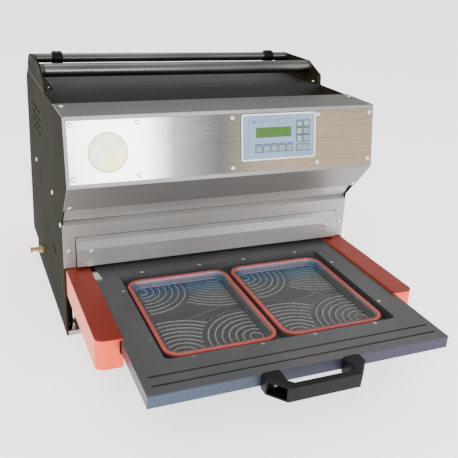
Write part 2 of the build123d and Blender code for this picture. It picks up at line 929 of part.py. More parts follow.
with BuildPart() as nest_block:
    with BuildSketch(Plane.XY.offset(plate_bottom - nest_flange_thickness)):
        with Locations((0, pocket_y)):
            RectangleRounded(
                opening_width + nest_flange_margin,
                opening_length + nest_flange_margin,
                opening_corner_radius,
            )
    extrude(amount=nest_flange_thickness)
    with BuildSketch(Plane.XY.offset(nest_top - nest_depth)):
        with Locations(*[(x, pocket_y) for x in pocket_xs]):
            RectangleRounded(pocket_width, pocket_length, pocket_corner_radius)
    extrude(amount=nest_depth)
    with BuildSketch(Plane.XY.offset(nest_top)):
        with Locations(*[(x, pocket_y) for x in pocket_xs]):
            RectangleRounded(
                gasket_inner_width - 2 * gasket_fit_gap,
                gasket_inner_length - 2 * gasket_fit_gap,
                gasket_inner_radius,
            )
    extrude(amount=nest_wall - nest_depth, mode=Mode.SUBTRACT)
    with BuildSketch(Plane.XY.offset(nest_top)):
        with Locations(*[(x, pocket_y) for x in pocket_xs]):
            RectangleRounded(pocket_width, pocket_length, pocket_corner_radius)
    extrude(amount=-gasket_height, mode=Mode.SUBTRACT)
    with Locations(*[(x, y, plate_bottom) for x, y in drawer_screws]):
        Hole(plate_screw_radius + screw_hole_gap)
save(nest_block, "nest_block")

with BuildPart() as gaskets:
    with BuildSketch(Plane.XY.offset(nest_top - gasket_height)):
        with Locations(*[(x, pocket_y) for x in pocket_xs]):
            RectangleRounded(pocket_width, pocket_length, pocket_corner_radius)
            RectangleRounded(
                gasket_inner_width, gasket_inner_length, gasket_inner_radius, mode=Mode.SUBTRACT
            )
    extrude(amount=gasket_height)
    fillet(gaskets.faces().group_by(Axis.Z)[-1].edges(), gasket_round)
save(gaskets, "gaskets")

with BuildPart() as drawer_screw_group:
    with Locations(*[(x, y, plate_top - plate_screw_recess) for x, y in drawer_screws]):
        Cylinder(
            plate_screw_diameter / 2,
            plate_screw_sink - plate_screw_recess,
            align=(Align.CENTER, Align.CENTER, Align.MAX),
        )
        Cylinder(
            plate_screw_radius,
            drawer_plate_thickness + plate_screw_reach,
            align=(Align.CENTER, Align.CENTER, Align.MAX),
        )
save(drawer_screw_group, "drawer_screws")

tray_open_width = gasket_inner_width - 2 * tray_inner_gap
tray_open_length = gasket_inner_length - 2 * tray_inner_gap
tray_corner = gasket_inner_radius - tray_inner_gap
for x, name in zip(pocket_xs, ("left", "right")):
    with BuildPart() as tray:
        with BuildSketch(Plane.XY.offset(nest_top)):
            with Locations((x, pocket_y)):
                RectangleRounded(
                    pocket_width - 2 * tray_edge_gap,
                    pocket_length - 2 * tray_edge_gap,
                    pocket_corner_radius - tray_edge_gap,
                )
        extrude(amount=tray_wall)
        for grow, start, mode in ((0.0, nest_top, Mode.ADD), (tray_wall, tray_top, Mode.SUBTRACT)):
            floor = nest_top - tray_depth + grow
            with BuildSketch(Plane.XY.offset(start)):
                with Locations((x, pocket_y)):
                    RectangleRounded(
                        tray_open_width - 2 * grow, tray_open_length - 2 * grow, tray_corner - grow
                    )
            with BuildSketch(Plane.XY.offset(floor)):
                with Locations((x, pocket_y)):
                    RectangleRounded(
                        tray_open_width - 2 * tray_draft - 2 * grow,
                        tray_open_length - 2 * tray_draft - 2 * grow,
                        tray_corner - grow,
                    )
            loft(mode=mode)
    save(tray, f"tray_{name}")

edge_guide_width = 12.0
edge_guide_tail_width = 6.0
edge_guide_length = 50.0
edge_guide_tail = 4.0
edge_guide_thickness = 1.5
edge_guide_gap = 0.5
edge_guide_x = edge_guide_gap - rail_inner
with BuildPart() as edge_guide:
    with BuildSketch(Plane.XY.offset(plate_top)):
        with BuildLine():
            Polyline(
                (edge_guide_x, front + edge_guide_tail),
                (edge_guide_x, front - edge_guide_length),
                (edge_guide_x + edge_guide_width, front - edge_guide_length),
                (edge_guide_x + edge_guide_tail_width, front + edge_guide_tail),
                close=True,
            )
        make_face()
    extrude(amount=edge_guide_thickness)
save(edge_guide, "edge_guide")

# ---------------------------------------------------------------- handle
with BuildPart() as handle:
    bar_front_y = plate_front_y - handle_projection
    with BuildSketch(Plane.XY.offset(handle_top - handle_height)):
        with BuildLine():
            Polyline(
                (-handle_width / 2, plate_front_y),
                (-handle_width / 2, plate_front_y - handle_shoulder),
                (-handle_bar_width / 2, bar_front_y),
                (handle_bar_width / 2, bar_front_y),
                (handle_width / 2, plate_front_y - handle_shoulder),
                (handle_width / 2, plate_front_y),
                close=True,
            )
        make_face()
        with BuildLine():
            gap_half = handle_width / 2 - handle_leg_width
            gap_front_y = bar_front_y + handle_bar_depth
            Polyline(
                (-gap_half, plate_front_y),
                (-gap_half, gap_front_y + handle_corner),
                (-gap_half + handle_corner, gap_front_y),
                (gap_half - handle_corner, gap_front_y),
                (gap_half, gap_front_y + handle_corner),
                (gap_half, plate_front_y),
                close=True,
            )
        make_face(mode=Mode.SUBTRACT)
    extrude(amount=handle_height)
    top_edges = handle.faces().sort_by(Axis.Z)[-1].edges()
    open_edges = top_edges.filter_by(lambda e: e.center().Y < plate_front_y - handle_wall)
    chamfer(open_edges, handle_edge_chamfer)
    # Each slanted shoulder is open, and its fixing screw sits at the back of the pocket.
    with BuildSketch(Plane.XY.offset(handle_top - handle_height + handle_wall)):
        for side in (-1, 1):
            with BuildLine():
                Polyline(
                    *[
                        (side * (handle_width / 2 - inward), plate_front_y - ahead)
                        for inward, ahead in handle_pocket
                    ],
                    close=True,
                )
            make_face()
    extrude(amount=handle_height - handle_wall - handle_top_wall, mode=Mode.SUBTRACT)
    for plane in handle_screw_planes:
        with BuildSketch(plane):
            Circle(screw_shank_diameter / 2 + screw_hole_gap)
        extrude(amount=-handle_back_wall, mode=Mode.SUBTRACT)
save(handle, "handle")

with BuildPart() as handle_screws:
    for plane in handle_screw_planes:
        with BuildSketch(plane):
            Circle(handle_screw_size / 2)
        extrude(amount=handle_screw_head)
        with BuildSketch(plane.offset(handle_screw_head)):
            RegularPolygon(handle_socket_size / 2, 6)
        extrude(amount=-socket_depth_share * handle_screw_head, mode=Mode.SUBTRACT)
        with BuildSketch(plane):
            Circle(screw_shank_diameter / 2)
        extrude(amount=-handle_back_wall - handle_screw_reach)
save(handle_screws, "handle_screws")

# ---------------------------------------------------------------- sealing head
head_pockets = [(x, head_y) for x in pocket_xs]
with BuildPart() as knives:
    with BuildSketch(Plane.XY.offset(knife_tip)):
        with Locations(*head_pockets):
            RectangleRounded(
                pocket_width + 2 * (knife_gap + knife_thickness),
                pocket_length + 2 * (knife_gap + knife_thickness),
                pocket_corner_radius + knife_gap + knife_thickness,
            )
            RectangleRounded(
                pocket_width + 2 * knife_gap,
                pocket_length + 2 * knife_gap,
                pocket_corner_radius + knife_gap,
                mode=Mode.SUBTRACT,
            )
    extrude(amount=board_bottom - knife_tip)
save(knives, "knives")

with BuildPart() as heater_plates:
    with BuildSketch(Plane.XY.offset(heater_bottom)):
        with Locations(*head_pockets):
            RectangleRounded(
                pocket_width - 2 * heater_margin,
                pocket_length - 2 * heater_margin,
                pocket_corner_radius - heater_margin,
            )
    extrude(amount=heater_thickness)
save(heater_plates, "heater_plates")

with BuildPart() as insulating_board:
    with BuildSketch(Plane.XY.offset(board_bottom)):
        with Locations((0, head_y)):
            RectangleRounded(crosshead_width, crosshead_length, crosshead_corner_radius)
    extrude(amount=board_thickness)
save(insulating_board, "insulating_board")

with BuildPart() as crosshead_plate:
    with BuildSketch(Plane.XY.offset(crosshead_bottom)):
        with Locations((0, head_y)):
            RectangleRounded(crosshead_width, crosshead_length, crosshead_corner_radius)
    extrude(amount=crosshead_thickness)
    chamfer(crosshead_plate.faces().sort_by(Axis.Z)[-1].edges(), crosshead_chamfer)
save(crosshead_plate, "crosshead_plate")

rod_top = press_plate_top + guide_rod_stand
with BuildPart() as guide_rods:
    with BuildSketch(Plane.XY.offset(crosshead_top)):
        with Locations((0, head_y)):
            with GridLocations(guide_rod_spacing_x, guide_rod_spacing_y, 2, 2):
                Circle(guide_rod_diameter / 2)
    extrude(amount=rod_top - crosshead_top)
save(guide_rods, "guide_rods")

bush_radius = guide_rod_diameter / 2 + bush_wall
with BuildPart() as press_plate:
    with BuildSketch(Plane.XY.offset(press_plate_bottom)):
        with Locations((0, head_y)):
            Rectangle(2 * inner_half, guide_rod_spacing_y + 2 * press_plate_margin)
            with GridLocations(guide_rod_spacing_x, guide_rod_spacing_y, 2, 2):
                Circle(bush_radius, mode=Mode.SUBTRACT)
            Circle(piston_rod_diameter / 2 + press_plate_rod_gap, mode=Mode.SUBTRACT)
    extrude(amount=press_plate_thickness)
save(press_plate, "press_plate")

with BuildPart() as guide_bushes:
    for bottom, height, radius in (
        (press_plate_top - bush_length, bush_length, bush_radius),
        (press_plate_top, bush_flange, bush_radius + bush_flange_width),
    ):
        with BuildSketch(Plane.XY.offset(bottom)):
            with Locations((0, head_y)):
                with GridLocations(guide_rod_spacing_x, guide_rod_spacing_y, 2, 2):
                    Circle(radius)
                    Circle(guide_rod_diameter / 2 + running_gap, mode=Mode.SUBTRACT)
        extrude(amount=height)
save(guide_bushes, "guide_bushes")

cylinder_top = press_plate_top + cylinder_height
bore_radius = cylinder_size / 2 - cylinder_wall
with BuildPart() as cylinder_body:
    with BuildSketch(Plane.XY.offset(press_plate_top)):
        with Locations((0, head_y)):
            RectangleRounded(cylinder_size, cylinder_size, cylinder_corner_radius)
            Circle(piston_rod_diameter / 2 + running_gap, mode=Mode.SUBTRACT)
    extrude(amount=cylinder_wall)
    with BuildSketch(Plane.XY.offset(press_plate_top + cylinder_wall)):
        with Locations((0, head_y)):
            RectangleRounded(cylinder_size, cylinder_size, cylinder_corner_radius)
            Circle(bore_radius, mode=Mode.SUBTRACT)
    extrude(amount=cylinder_height - 2 * cylinder_wall)
    with BuildSketch(Plane.XY.offset(cylinder_top - cylinder_wall)):
        with Locations((0, head_y)):
            RectangleRounded(cylinder_size, cylinder_size, cylinder_corner_radius)
    extrude(amount=cylinder_wall)
save(cylinder_body, "cylinder_body")

piston_top = cylinder_top - cylinder_wall - piston_end_gap
with BuildPart() as piston_rod:
    with BuildSketch(Plane.XY.offset(crosshead_top)):
        with Locations((0, head_y)):
            Circle(piston_rod_diameter / 2)
    extrude(amount=piston_top - crosshead_top)
    with BuildSketch(Plane.XY.offset(piston_top)):
        with Locations((0, head_y)):
            Circle(bore_radius - piston_gap)
    extrude(amount=-piston_thickness)
save(piston_rod, "piston_rod")

# ---------------------------------------------------------------- film rollers
rollers = {
    "front": (front + front_roller_back, head_top + front_roller_rise, front_roller_diameter),
    "rear": (front + rear_roller_back, head_top + rear_roller_rise, rear_roller_diameter),
}
for side, name in ((-1, "left"), (1, "right")):
    with BuildPart() as film_bracket:
        with BuildSketch(Plane.YZ.offset(side * half_width)):
            with BuildLine():
                crest = head_top + bracket_height
                Polyline(
                    (front + bracket_rear, head_top),
                    (front + bracket_front, head_top),
                    (front + bracket_front + bracket_front_lean, head_top + bracket_front_height),
                    (front + bracket_shoulder, crest),
                    (front + bracket_rear_crest, crest),
                )
                TangentArc(
                    (front + bracket_rear_crest, crest),
                    (front + bracket_rear, head_top),
                    tangent=(1, 0),
                )
            make_face()
            for y, z, _ in rollers.values():
                with Locations((y, z)):
                    Circle(roller_bush_spigot / 2, mode=Mode.SUBTRACT)
        extrude(amount=-side * bracket_thickness)
        with BuildSketch(deck_plane):
            with Locations(
                (side * (half_width - bracket_foot / 2), front + (bracket_front + bracket_rear) / 2)
            ):
                Rectangle(bracket_foot, bracket_rear - bracket_front - 2 * bracket_foot_inset)
        extrude(amount=side_thickness)
        with BuildSketch(Plane.YZ.offset(side * half_width)):
            with BuildLine():
                Polyline(
                    (front + bracket_front, head_top),
                    (front + bracket_front + bracket_front_lean, head_top + bracket_front_height),
                    (
                        front + bracket_front + bracket_front_lean + side_thickness,
                        head_top + bracket_front_height,
                    ),
                    (front + bracket_front + side_thickness, head_top),
                    close=True,
                )
            make_face()
        extrude(amount=-side * bracket_front_flange)
        drill(foot_screws)
    save(film_bracket, f"film_bracket_{name}")

with BuildPart() as roller_bushes:
    for y, z, diameter in rollers.values():
        for side in (-1, 1):
            bush_plane = Plane(
                origin=(side * roller_half, y, z), x_dir=(0, side, 0), z_dir=(side, 0, 0)
            )
            with BuildSketch(bush_plane):
                Circle(diameter / 2 - roller_bush_step)
                Circle(journal_diameter / 2 + running_gap, mode=Mode.SUBTRACT)
            extrude(amount=roller_bush_thickness)
            with BuildSketch(bush_plane.offset(roller_bush_thickness)):
                Circle(roller_bush_spigot / 2)
                Circle(journal_diameter / 2 + running_gap, mode=Mode.SUBTRACT)
            extrude(amount=bracket_thickness)
save(roller_bushes, "roller_bushes")

for name, (y, z, diameter) in rollers.items():
    with BuildPart() as roller:
        with BuildSketch(Plane.YZ.offset(roller_end_gap - roller_half)):
            with Locations((y, z)):
                Circle(diameter / 2)
        extrude(amount=2 * (roller_half - roller_end_gap))
        chamfer(roller.edges().filter_by(GeomType.CIRCLE), roller_chamfer)
        with BuildSketch(Plane.YZ.offset(journal_end_gap - half_width)):
            with Locations((y, z)):
                Circle(journal_diameter / 2)
        extrude(amount=machine_width - 2 * journal_end_gap)
    save(roller, f"{name}_roller")

for side, name in ((-1, "left"), (1, "right")):
    with BuildPart() as collar:
        y, z, diameter = rollers["rear"]
        with BuildSketch(Plane.YZ.offset(side * collar_x - collar_length / 2)):
            with Locations((y, z)):
                Circle(collar_diameter / 2)
        extrude(amount=collar_length)
        chamfer(collar.edges().filter_by(GeomType.CIRCLE), collar_chamfer)
        with BuildSketch(Plane.YZ.offset(side * collar_x - collar_groove / 2)):
            with Locations((y, z)):
                Circle(collar_diameter / 2)
                Circle(collar_diameter / 2 - collar_groove, mode=Mode.SUBTRACT)
        extrude(amount=collar_groove, mode=Mode.SUBTRACT)
        with BuildSketch(Plane.YZ.offset(side * collar_x - collar_length / 2)):
            with Locations((y, z)):
                Circle(diameter / 2 + running_gap)
        extrude(amount=collar_length, mode=Mode.SUBTRACT)
    save(collar, f"reel_collar_{name}")

# ---------------------------------------------------------------- air and mains
fitting_plane = Plane(
    origin=(-half_width, front + fitting_back, fitting_height),
    x_dir=(0, -1, 0),
    z_dir=(-1, 0, 0),
)
with BuildPart() as air_fitting:
    with BuildSketch(fitting_plane):
        RegularPolygon(fitting_hex_size / 2, 6)
    extrude(amount=fitting_hex_length)
    with BuildSketch(fitting_plane):
        Circle(fitting_body_diameter / 2)
    extrude(amount=fitting_length - fitting_ring_length)
    with BuildSketch(fitting_plane):
        Circle(fitting_body_diameter / 2 - running_gap)
    extrude(amount=-fitting_thread_length)
    with BuildSketch(fitting_plane.offset(fitting_length - fitting_ring_length)):
        Circle(fitting_bore_diameter / 2)
    extrude(amount=-fitting_length - fitting_thread_length, mode=Mode.SUBTRACT)
save(air_fitting, "air_inlet_fitting")

with BuildPart() as release_ring:
    with BuildSketch(fitting_plane.offset(fitting_length - fitting_ring_length)):
        Circle(fitting_body_diameter / 2 + fitting_ring_lip)
        Circle(fitting_bore_diameter / 2, mode=Mode.SUBTRACT)
    extrude(amount=fitting_ring_length)
save(release_ring, "fitting_release_ring")

valve_width = 22.0
valve_length = 70.0
valve_half_height = 14.0
valve_foot_width = 14.0
valve_foot_length = 50.0
valve_coil_width = 20.0
valve_coil_length = 24.0
valve_coil_height = 10.0
valve_coil_pitch = 34.0
valve_x = -half_width + fitting_thread_length + valve_width / 2
with BuildPart() as solenoid_valve:
    with BuildSketch(Plane.XY.offset(fitting_height - valve_half_height)):
        with Locations((valve_x, front + fitting_back)):
            Rectangle(valve_width, valve_length)
    extrude(amount=2 * valve_half_height)
    with BuildSketch(Plane.XY.offset(base_thickness)):
        with Locations((valve_x, front + fitting_back)):
            Rectangle(valve_foot_width, valve_foot_length)
    extrude(amount=fitting_height - valve_half_height - base_thickness)
    with BuildSketch(Plane.XY.offset(fitting_height + valve_half_height)):
        with Locations((valve_x, front + fitting_back)):
            with GridLocations(0, valve_coil_pitch, 1, 2):
                Rectangle(valve_coil_width, valve_coil_length)
    extrude(amount=valve_coil_height)
save(solenoid_valve, "solenoid_valve")

with BuildPart() as power_inlet:
    inlet_plane = on_plane(rear_plane, inlet_x, inlet_rise)
    with BuildSketch(inlet_plane):
        Rectangle(inlet_width - 2 * inlet_fit_gap, inlet_height - 2 * inlet_fit_gap)
    extrude(amount=-inlet_depth)
    with BuildSketch(inlet_plane):
        RectangleRounded(
            inlet_width + 2 * inlet_flange_margin,
            inlet_height + 2 * inlet_flange_margin,
            inlet_corner_radius,
        )
    extrude(amount=inlet_flange)
    with BuildSketch(inlet_plane.offset(inlet_flange)):
        with Locations((0, -socket_drop)):
            Rectangle(socket_width, socket_height)
        with Locations((0, rocker_rise)):
            Rectangle(rocker_hole_width, rocker_hole_height)
    extrude(amount=-socket_depth, mode=Mode.SUBTRACT)
    with BuildSketch(inlet_plane.offset(inlet_flange - socket_depth)):
        with Locations((0, -socket_drop)):
            with Locations((0, pin_step), (-pin_spread, -pin_step), (pin_spread, -pin_step)):
                Rectangle(pin_width, pin_height)
    extrude(amount=pin_length)
save(power_inlet, "power_inlet")

rocker_half_height = 5.8
rocker_root_half_height = 5.4
rocker_pressed_rise = 0.4
rocker_raised_rise = 2.4
rocker_waist = 0.2
rocker_root = 4.0
rocker_plane = on_plane(inlet_plane, 0, rocker_rise, inlet_flange)
with BuildPart() as rocker:
    with BuildSketch(Plane(rocker_plane.origin, x_dir=rocker_plane.y_dir, z_dir=rocker_plane.x_dir)):
        with BuildLine():
            Polyline(
                (-rocker_half_height, rocker_pressed_rise),
                (0, -rocker_waist),
                (rocker_half_height, rocker_raised_rise),
                (rocker_root_half_height, -rocker_root),
                (-rocker_root_half_height, -rocker_root),
                close=True,
            )
        make_face()
    extrude(amount=rocker_half_width, both=True)
save(rocker, "mains_rocker")
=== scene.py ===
import json
import math

import bpy
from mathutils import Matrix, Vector


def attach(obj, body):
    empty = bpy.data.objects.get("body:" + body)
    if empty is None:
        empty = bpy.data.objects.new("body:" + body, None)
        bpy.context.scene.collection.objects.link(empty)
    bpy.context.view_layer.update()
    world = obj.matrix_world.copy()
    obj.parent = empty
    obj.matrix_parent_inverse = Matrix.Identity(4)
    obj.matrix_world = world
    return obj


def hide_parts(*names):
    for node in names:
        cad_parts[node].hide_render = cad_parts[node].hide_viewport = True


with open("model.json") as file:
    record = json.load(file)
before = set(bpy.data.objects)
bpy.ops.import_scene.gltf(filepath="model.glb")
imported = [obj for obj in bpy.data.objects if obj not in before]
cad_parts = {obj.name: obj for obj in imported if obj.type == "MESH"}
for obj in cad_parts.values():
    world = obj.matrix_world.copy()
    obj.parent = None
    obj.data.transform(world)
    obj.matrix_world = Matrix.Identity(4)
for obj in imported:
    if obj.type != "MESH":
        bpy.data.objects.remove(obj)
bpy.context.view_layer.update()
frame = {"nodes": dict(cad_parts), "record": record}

# Heights that both a finish and a shape need, in metres like every size here.
tray_top = 0.1268
tray_floor = 0.1138

white = (1.0, 1.0, 1.0)


# ---------------------------------------------------------------- node helpers
def grey(level):
    """A neutral colour."""
    return (level, level, level)


class Shader:
    """A material being built from nodes, with short names for the common steps."""

    noise_range = (0.25, 0.75)  # where nearly all of a noise pattern's values lie
    mix_factor, mix_first, mix_second, mix_result = 0, 6, 7, 2  # a mix node's colour sockets

    def __init__(self, name, **settings):
        self.mat = bpy.data.materials.new(name)
        self.mat.use_nodes = True
        self.nodes = self.mat.node_tree.nodes
        self.links = self.mat.node_tree.links
        self.bsdf = self.nodes["Principled BSDF"]
        self.where = self.nodes.new("ShaderNodeTexCoord").outputs["Object"]
        self.relief = None
        for socket, value in settings.items():
            self.bsdf.inputs[socket.replace("_", " ")].default_value = value

    def link(self, source, target):
        """Joins an output socket to an input socket."""
        self.links.new(source, target)

    def stretched(self, scale):
        """Object coordinates scaled by a different amount along each axis."""
        node = self.nodes.new("ShaderNodeMapping")
        node.inputs["Scale"].default_value = scale
        self.link(self.where, node.inputs["Vector"])
        return node.outputs["Vector"]

    def noise(self, scale, detail=3.0, rough=0.5, distort=0.0):
        """A cloudy pattern, with scale in repeats to the metre along each axis."""
        node = self.nodes.new("ShaderNodeTexNoise")
        node.inputs["Scale"].default_value = 1.0
        node.inputs["Detail"].default_value = detail
        node.inputs["Roughness"].default_value = rough
        node.inputs["Distortion"].default_value = distort
        self.link(self.stretched(scale), node.inputs["Vector"])
        return node.outputs["Fac"]

    def spots(self, scale):
        """A pattern of round cells, with scale as in noise."""
        node = self.nodes.new("ShaderNodeTexVoronoi")
        node.inputs["Scale"].default_value = 1.0
        self.link(self.stretched(scale), node.inputs["Vector"])
        return node.outputs["Distance"]

    def along(self, axis):
        """The object coordinate along one axis, in metres."""
        node = self.nodes.new("ShaderNodeSeparateXYZ")
        self.link(self.where, node.inputs["Vector"])
        return node.outputs[axis]

    def ramp(self, value, *stops):
        """A colour ramp from (position, colour) stops."""
        node = self.nodes.new("ShaderNodeValToRGB")
        ends = node.color_ramp.elements
        for index, (position, colour) in enumerate(stops):
            stop = ends[index] if index < 2 else ends.new(position)
            stop.position = position
            stop.color = (*colour, 1.0)
        self.link(value, node.inputs["Fac"])
        return node.outputs["Color"]

    def span(self, value, low, high, to_low=0.0, to_high=1.0):
        """Maps a value's range to another range, without going past its ends."""
        node = self.nodes.new("ShaderNodeMapRange")
        sockets = ("From Min", "From Max", "To Min", "To Max")
        for socket, number in zip(sockets, (low, high, to_low, to_high)):
            node.inputs[socket].default_value = number
        self.link(value, node.inputs["Value"])
        return node.outputs["Result"]

    def mix(self, factor, first, second, blend="MIX"):
        """Mixes two colours; each of the three may be a constant or a socket."""
        node = self.nodes.new("ShaderNodeMix")
        node.data_type = "RGBA"
        node.blend_type = blend
        sources = ((self.mix_factor, factor), (self.mix_first, first), (self.mix_second, second))
        for socket, source in sources:
            if isinstance(source, (int, float)):
                node.inputs[socket].default_value = source
            elif isinstance(source, tuple):
                node.inputs[socket].default_value = (*source, 1.0)
            else:
                self.link(source, node.inputs[socket])
        return node.outputs[self.mix_result]

    def colour(self, source):
        """Takes the surface's colour from a socket."""
        self.link(source, self.bsdf.inputs["Base Color"])

    def roughness(self, value, low, high):
        """Lets the roughness follow a pattern between two values."""
        self.link(self.span(value, *self.noise_range, low, high), self.bsdf.inputs["Roughness"])

    def bump(self, value, strength, distance):
        """Adds a layer of fine relief; later layers ride on earlier ones."""
        node = self.nodes.new("ShaderNodeBump")
        node.inputs["Strength"].default_value = strength
        node.inputs["Distance"].default_value = distance
        self.link(value, node.inputs["Height"])
        if self.relief:
            self.link(self.relief, node.inputs["Normal"])
        self.relief = node.outputs["Normal"]
        self.link(self.relief, self.bsdf.inputs["Normal"])


# ---------------------------------------------------------------- kinds of finish
along_x = (4, 900, 900)  # a brushed grain's scale: long streaks along X
upright = (900, 900, 5)  # the same, with the streaks upright


def brush_marks(s, grain, rough):
    """Long fine streaks, soft patches of wear and a little relief; returns both patterns."""
    streaks = s.noise(grain, detail=4.0, rough=0.6)
    patches = s.noise((2.2, 3.0, 3.0), detail=2.0)
    coarser = (grain[0], grain[1] * 0.6, grain[2] * 0.6)
    s.roughness(s.noise(coarser, detail=2.0), *rough)
    s.bump(streaks, 0.25, 0.00004)
    s.bump(patches, 0.10, 0.004)
    return streaks, patches


def brushed(name, dark, light, rough, metallic, grain=along_x, **settings):
    """Brushed sheet metal, darker and lighter in patches."""
    s = Shader(name, Metallic=metallic, **settings)
    streaks, patches = brush_marks(s, grain, rough)
    base = s.ramp(patches, (0.30, dark), (0.72, light))
    fine = s.ramp(streaks, (0.30, grey(0.80)), (0.70, white))
    s.colour(s.mix(0.85, base, fine, "MULTIPLY"))
    return s.mat


def cast(name, dark, light, rough, grain=1200, depth=0.00006, metallic=0.0, **settings):
    """A moulded, coated or machined surface with an even fine grain."""
    s = Shader(name, Metallic=metallic, **settings)
    fine = s.noise(grey(grain), detail=3.0)
    broad = s.noise((9, 9, 9), detail=4.0)
    s.colour(s.ramp(broad, (0.30, dark), (0.70, light)))
    s.roughness(broad, *rough)
    s.bump(fine, 0.35, depth)
    return s.mat


def printed(name, dark, light, rough=(0.36, 0.46)):
    """A screen-printed plastic film with a fine pebbled texture."""
    s = Shader(name, Specular_IOR_Level=0.45)
    pebble = s.spots((900, 900, 900))
    broad = s.noise((14, 14, 14), detail=3.0)
    s.colour(s.ramp(broad, (0.3, dark), (0.7, light)))
    s.roughness(broad, *rough)
    s.bump(pebble, 0.12, 0.00004)
    return s.mat


def turned(name, dark, light, rough=(0.14, 0.24)):
    """Turned or ground bar: fine marks around the axis, which runs along X."""
    s = Shader(name, Metallic=1.0)
    marks = s.noise((1400, 4, 4), detail=2.0)
    broad = s.noise((5, 8, 8), detail=3.0)
    s.colour(s.ramp(broad, (0.3, dark), (0.7, light)))
    s.roughness(marks, *rough)
    s.bump(marks, 0.012, 0.00001)
    return s.mat


# ---------------------------------------------------------------- finishes of their own
def cover_steel():
    """The bent head cover: darker on top, lighter on the face and the underside; the darker top is
    painted shade.
    """
    face_end, shaded_top_start = 0.4165, 0.4172  # heights on either side of the cover's upper bend
    s = Shader("cover_steel", Metallic=0.62)
    brush_marks(s, along_x, (0.36, 0.5))
    # uneven darker and lighter patches
    mottle = s.noise((2.0, 5, 5), detail=3.0)
    patchy = s.ramp(mottle, (0.35, (0.13, 0.13, 0.12)), (0.65, (0.27, 0.25, 0.235)))
    face = s.mix(0.7, patchy, (0.24, 0.235, 0.225))
    # painted shade: the top gets a much darker copy of the face's steel
    top = s.ramp(mottle, (0.35, (0.050, 0.050, 0.044)), (0.65, (0.085, 0.084, 0.076)))
    s.colour(s.mix(s.span(s.along("Z"), face_end, shaded_top_start), face, top))
    return s.mat


def front_steel():
    """The front plate, its colour a painted reflection: a painted highlight at the left, painted
    shade in the middle and a warmer painted reflection to the right.
    """
    half_width = 0.275
    s = Shader("front_steel", Metallic=0.85)
    streaks = s.noise((5, 900, 900), detail=4.0, rough=0.6)
    patches = s.noise((2.6, 4, 9), detail=2.0, distort=0.6)
    # painted reflection across the plate: a bright highlight at the left, dark in the middle, warm
    # to the right
    painted_reflection = s.ramp(
        s.span(s.along("X"), -half_width, half_width),
        (0.00, (0.84, 0.84, 0.82)),
        (0.22, (0.86, 0.87, 0.86)),
        (0.31, (0.19, 0.195, 0.195)),
        (0.46, (0.105, 0.103, 0.101)),
        (0.58, (0.28, 0.26, 0.19)),
        (0.72, (0.41, 0.31, 0.22)),
        (1.00, (0.40, 0.30, 0.21)),
    )
    # uneven darker and lighter patches
    mottle = s.ramp(patches, (0.30, (0.78, 0.76, 0.72)), (0.70, white))
    fine = s.ramp(streaks, (0.30, grey(0.84)), (0.70, white))
    s.colour(s.mix(0.8, s.mix(0.9, painted_reflection, mottle, "MULTIPLY"), fine, "MULTIPLY"))
    s.roughness(streaks, 0.20, 0.34)
    s.bump(streaks, 0.22, 0.00004)
    s.bump(patches, 0.12, 0.004)
    return s.mat


def anodised_rail():
    """The drawer's side rails: orange-red on the sides and a darker red on top, the darker top being
    painted shade.
    """
    side_end, shaded_top_start = 0.1345, 0.1352
    s = Shader("rail_anodised", Metallic=0.6)
    grain = s.noise((700, 6, 700), detail=3.0)
    broad = s.noise((7, 7, 7), detail=3.0)
    # painted shade: the top is a darker copy of the sides' orange-red
    top = s.ramp(broad, (0.30, (0.21, 0.019, 0.010)), (0.70, (0.33, 0.033, 0.014)))
    side = s.ramp(broad, (0.30, (0.80, 0.085, 0.028)), (0.70, (0.98, 0.125, 0.042)))
    s.colour(s.mix(s.span(s.along("Z"), side_end, shaded_top_start), side, top))
    s.roughness(broad, 0.34, 0.46)
    s.bump(grain, 0.25, 0.00004)
    return s.mat


def drawer_anodised():
    """Dark hard-anodised plate with fine machining lines and a front edge in painted shade, darker
    and tinted bluish to purplish.
    """
    front_edge, plate_start, half_width = -0.5736, -0.5728, 0.24
    s = Shader("drawer_anodised", Metallic=0.45)
    lines = s.noise((6, 1500, 1500), detail=3.0)
    broad = s.noise((6, 6, 6), detail=4.0)
    top = s.ramp(broad, (0.30, (0.056, 0.056, 0.058)), (0.70, (0.082, 0.082, 0.084)))
    # painted shade on the plate's front edge, bluish at the left and purplish to the right
    shaded_front_edge = s.ramp(
        s.span(s.along("X"), -half_width, half_width),
        (0.00, (0.042, 0.062, 0.098)),
        (0.45, (0.030, 0.034, 0.056)),
        (1.00, (0.034, 0.026, 0.054)),
    )
    s.colour(s.mix(s.span(s.along("Y"), front_edge, plate_start, 1.0, 0.0), top, shaded_front_edge))
    s.roughness(broad, 0.42, 0.56)
    s.bump(lines, 0.30, 0.00005)
    return s.mat


def nest_aluminium():
    """The machined nest block, dark grey with a fine even grain."""
    s = Shader("nest_aluminium", Metallic=0.5)
    grain = s.noise((300, 300, 20), detail=3.0)
    broad = s.noise((8, 8, 8), detail=3.0)
    s.colour(s.ramp(broad, (0.3, (0.055, 0.057, 0.062)), (0.7, (0.095, 0.098, 0.105))))
    s.roughness(broad, 0.38, 0.52)
    s.bump(grain, 0.3, 0.00006)
    return s.mat


